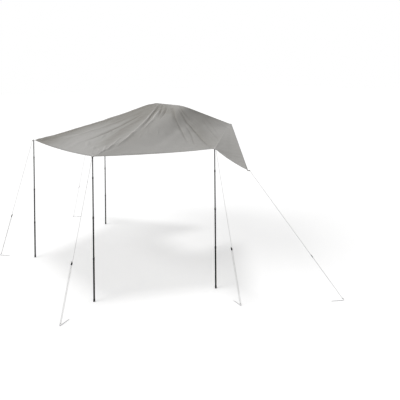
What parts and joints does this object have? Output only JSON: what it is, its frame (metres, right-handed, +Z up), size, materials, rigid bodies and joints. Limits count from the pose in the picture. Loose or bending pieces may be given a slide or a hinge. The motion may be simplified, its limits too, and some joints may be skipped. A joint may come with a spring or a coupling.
{
  "type": "vehicle side awning",
  "caption": "Fabric side awning that wraps round a roof tent's overhang, on telescopic poles with twist-lock collars, guylines, sliding tensioners and wire pegs.",
  "frame": {"origin": "on the ground, below the middle of the canopy and its poles; guylines, tensioners and pegs are left out of that middle", "axes": "+X the vehicle's forward direction, along the canopy's long side; +Y towards the vehicle; +Z up"},
  "size_m": [6.1609, 3.7577, 2.6575],
  "materials": {
    "fabric": "matt coated polyester, warm grey",
    "strip": "hook-and-loop tape",
    "webbing": "woven webbing with a pressed eyelet",
    "tube": "black anodised, satin",
    "lock_plastic": "moulded, fine matt",
    "rubber": "matt",
    "guyline": "braided cord, light grey",
    "steel_wire": "drawn wire"
  },
  "bodies": {
    "canopy": {"rear_wing_panel": "fabric", "rear_panel": "fabric", "outer_panel": "fabric", "front_panel": "fabric", "front_wing_panel": "fabric", "tent_edge_strip": "strip", "rear_outer_tab": "webbing", "front_outer_tab": "webbing", "rear_inner_tab": "webbing", "front_inner_tab": "webbing", "rear_wing_tab": "webbing", "front_wing_tab": "webbing", "rear_outer_guyline": "guyline", "rear_outer_peg": "steel_wire", "front_outer_guyline": "guyline", "front_outer_peg": "steel_wire", "front_inner_guyline": "guyline", "front_inner_peg": "steel_wire", "rear_wing_guyline": "guyline", "rear_wing_peg": "steel_wire", "front_wing_guyline": "guyline", "front_wing_peg": "steel_wire"},
    "rear_outer_top": {"rear_outer_top_tube": "tube"},
    "rear_outer_third": {"rear_outer_third_tube": "tube"},
    "rear_outer_second": {"rear_outer_second_tube": "tube"},
    "rear_outer_lower": {"rear_outer_lower_tube": "tube", "rear_outer_foot": "rubber"},
    "rear_outer_third_lock": {"rear_outer_third_collar": "lock_plastic"},
    "rear_outer_second_lock": {"rear_outer_second_collar": "lock_plastic"},
    "rear_outer_lower_lock": {"rear_outer_lower_collar": "lock_plastic"},
    "front_outer_top": {"front_outer_top_tube": "tube"},
    "front_outer_third": {"front_outer_third_tube": "tube"},
    "front_outer_second": {"front_outer_second_tube": "tube"},
    "front_outer_lower": {"front_outer_lower_tube": "tube", "front_outer_foot": "rubber"},
    "front_outer_third_lock": {"front_outer_third_collar": "lock_plastic"},
    "front_outer_second_lock": {"front_outer_second_collar": "lock_plastic"},
    "front_outer_lower_lock": {"front_outer_lower_collar": "lock_plastic"},
    "rear_inner_top": {"rear_inner_top_tube": "tube"},
    "rear_inner_third": {"rear_inner_third_tube": "tube"},
    "rear_inner_second": {"rear_inner_second_tube": "tube"},
    "rear_inner_lower": {"rear_inner_lower_tube": "tube", "rear_inner_foot": "rubber"},
    "rear_inner_third_lock": {"rear_inner_third_collar": "lock_plastic"},
    "rear_inner_second_lock": {"rear_inner_second_collar": "lock_plastic"},
    "rear_inner_lower_lock": {"rear_inner_lower_collar": "lock_plastic"},
    "front_inner_top": {"front_inner_top_tube": "tube"},
    "front_inner_third": {"front_inner_third_tube": "tube"},
    "front_inner_second": {"front_inner_second_tube": "tube"},
    "front_inner_lower": {"front_inner_lower_tube": "tube", "front_inner_foot": "rubber"},
    "front_inner_third_lock": {"front_inner_third_collar": "lock_plastic"},
    "front_inner_second_lock": {"front_inner_second_collar": "lock_plastic"},
    "front_inner_lower_lock": {"front_inner_lower_collar": "lock_plastic"},
    "rear_outer_slider": {"rear_outer_tensioner": "lock_plastic"},
    "front_outer_slider": {"front_outer_tensioner": "lock_plastic"},
    "front_inner_slider": {"front_inner_tensioner": "lock_plastic"},
    "rear_wing_slider": {"rear_wing_tensioner": "lock_plastic"},
    "front_wing_slider": {"front_wing_tensioner": "lock_plastic"}
  },
  "joints": [
    {"name": "rear_outer_splay", "type": "hinge", "parent": "canopy", "child": "rear_outer_top", "pos_m": [-0.978, -1.6265, 2.07], "axis": [1, 0, 0], "range_deg": [-10, 10]},
    {"name": "rear_outer_height", "type": "slide", "parent": "rear_outer_top", "child": "rear_outer_third", "axis": [0, 0, 1], "range_m": [-0.24, 0.25]},
    {"name": "rear_outer_third_section", "type": "slide", "parent": "rear_outer_third", "child": "rear_outer_second", "axis": [0, 0, 1], "range_m": [0, 0.52]},
    {"name": "rear_outer_second_section", "type": "slide", "parent": "rear_outer_second", "child": "rear_outer_lower", "axis": [0, 0, 1], "range_m": [0, 0.52]},
    {"name": "rear_outer_third_twist", "type": "hinge", "parent": "rear_outer_third", "child": "rear_outer_third_lock", "pos_m": [-0.978, -1.6265, 1.778], "axis": [0, 0, 1], "range_deg": [0, 90]},
    {"name": "rear_outer_second_twist", "type": "hinge", "parent": "rear_outer_second", "child": "rear_outer_second_lock", "pos_m": [-0.978, -1.6265, 1.208], "axis": [0, 0, 1], "range_deg": [0, 90]},
    {"name": "rear_outer_lower_twist", "type": "hinge", "parent": "rear_outer_lower", "child": "rear_outer_lower_lock", "pos_m": [-0.978, -1.6265, 0.625], "axis": [0, 0, 1], "range_deg": [0, 90]},
    {"name": "front_outer_splay", "type": "hinge", "parent": "canopy", "child": "front_outer_top", "pos_m": [1.2, -1.4745, 2.07], "axis": [1, 0, 0], "range_deg": [-10, 10]},
    {"name": "front_outer_height", "type": "slide", "parent": "front_outer_top", "child": "front_outer_third", "axis": [0, 0, 1], "range_m": [-0.24, 0.25]},
    {"name": "front_outer_third_section", "type": "slide", "parent": "front_outer_third", "child": "front_outer_second", "axis": [0, 0, 1], "range_m": [0, 0.52]},
    {"name": "front_outer_second_section", "type": "slide", "parent": "front_outer_second", "child": "front_outer_lower", "axis": [0, 0, 1], "range_m": [0, 0.52]},
    {"name": "front_outer_third_twist", "type": "hinge", "parent": "front_outer_third", "child": "front_outer_third_lock", "pos_m": [1.2, -1.4745, 1.778], "axis": [0, 0, 1], "range_deg": [0, 90]},
    {"name": "front_outer_second_twist", "type": "hinge", "parent": "front_outer_second", "child": "front_outer_second_lock", "pos_m": [1.2, -1.4745, 1.208], "axis": [0, 0, 1], "range_deg": [0, 90]},
    {"name": "front_outer_lower_twist", "type": "hinge", "parent": "front_outer_lower", "child": "front_outer_lower_lock", "pos_m": [1.2, -1.4745, 0.625], "axis": [0, 0, 1], "range_deg": [0, 90]},
    {"name": "rear_inner_splay", "type": "hinge", "parent": "canopy", "child": "rear_inner_top", "pos_m": [-1.915, 0.1665, 2.055], "axis": [0, 1, 0], "range_deg": [-10, 10]},
    {"name": "rear_inner_height", "type": "slide", "parent": "rear_inner_top", "child": "rear_inner_third", "axis": [0, 0, 1], "range_m": [-0.24, 0.25]},
    {"name": "rear_inner_third_section", "type": "slide", "parent": "rear_inner_third", "child": "rear_inner_second", "axis": [0, 0, 1], "range_m": [0, 0.52]},
    {"name": "rear_inner_second_section", "type": "slide", "parent": "rear_inner_second", "child": "rear_inner_lower", "axis": [0, 0, 1], "range_m": [0, 0.52]},
    {"name": "rear_inner_third_twist", "type": "hinge", "parent": "rear_inner_third", "child": "rear_inner_third_lock", "pos_m": [-1.915, 0.1665, 1.778], "axis": [0, 0, 1], "range_deg": [0, 90]},
    {"name": "rear_inner_second_twist", "type": "hinge", "parent": "rear_inner_second", "child": "rear_inner_second_lock", "pos_m": [-1.915, 0.1665, 1.208], "axis": [0, 0, 1], "range_deg": [0, 90]},
    {"name": "rear_inner_lower_twist", "type": "hinge", "parent": "rear_inner_lower", "child": "rear_inner_lower_lock", "pos_m": [-1.915, 0.1665, 0.625], "axis": [0, 0, 1], "range_deg": [0, 90]},
    {"name": "front_inner_splay", "type": "hinge", "parent": "canopy", "child": "front_inner_top", "pos_m": [1.915, 0.1665, 2.101], "axis": [0, 1, 0], "range_deg": [-10, 10]},
    {"name": "front_inner_height", "type": "slide", "parent": "front_inner_top", "child": "front_inner_third", "axis": [0, 0, 1], "range_m": [-0.24, 0.25]},
    {"name": "front_inner_third_section", "type": "slide", "parent": "front_inner_third", "child": "front_inner_second", "axis": [0, 0, 1], "range_m": [0, 0.52]},
    {"name": "front_inner_second_section", "type": "slide", "parent": "front_inner_second", "child": "front_inner_lower", "axis": [0, 0, 1], "range_m": [0, 0.52]},
    {"name": "front_inner_third_twist", "type": "hinge", "parent": "front_inner_third", "child": "front_inner_third_lock", "pos_m": [1.915, 0.1665, 1.778], "axis": [0, 0, 1], "range_deg": [0, 90]},
    {"name": "front_inner_second_twist", "type": "hinge", "parent": "front_inner_second", "child": "front_inner_second_lock", "pos_m": [1.915, 0.1665, 1.208], "axis": [0, 0, 1], "range_deg": [0, 90]},
    {"name": "front_inner_lower_twist", "type": "hinge", "parent": "front_inner_lower", "child": "front_inner_lower_lock", "pos_m": [1.915, 0.1665, 0.625], "axis": [0, 0, 1], "range_deg": [0, 90]},
    {"name": "rear_outer_tension", "type": "slide", "parent": "canopy", "child": "rear_outer_slider", "axis": [0.2087, 0.2074, 0.9557], "range_m": [-0.3, 0.3]},
    {"name": "front_outer_tension", "type": "slide", "parent": "canopy", "child": "front_outer_slider", "axis": [-0.1558, 0.2787, 0.9477], "range_m": [-0.3, 0.3]},
    {"name": "front_inner_tension", "type": "slide", "parent": "canopy", "child": "front_inner_slider", "axis": [-0.2822, 0.025, 0.959], "range_m": [-0.3, 0.3]},
    {"name": "rear_wing_tension", "type": "slide", "parent": "canopy", "child": "rear_wing_slider", "axis": [0.0808, 0.1746, 0.9813], "range_m": [-0.3, 0.3]},
    {"name": "front_wing_tension", "type": "slide", "parent": "canopy", "child": "front_wing_slider", "axis": [-0.2753, -0.5117, 0.8139], "range_m": [-0.3, 0.3]}
  ]
}
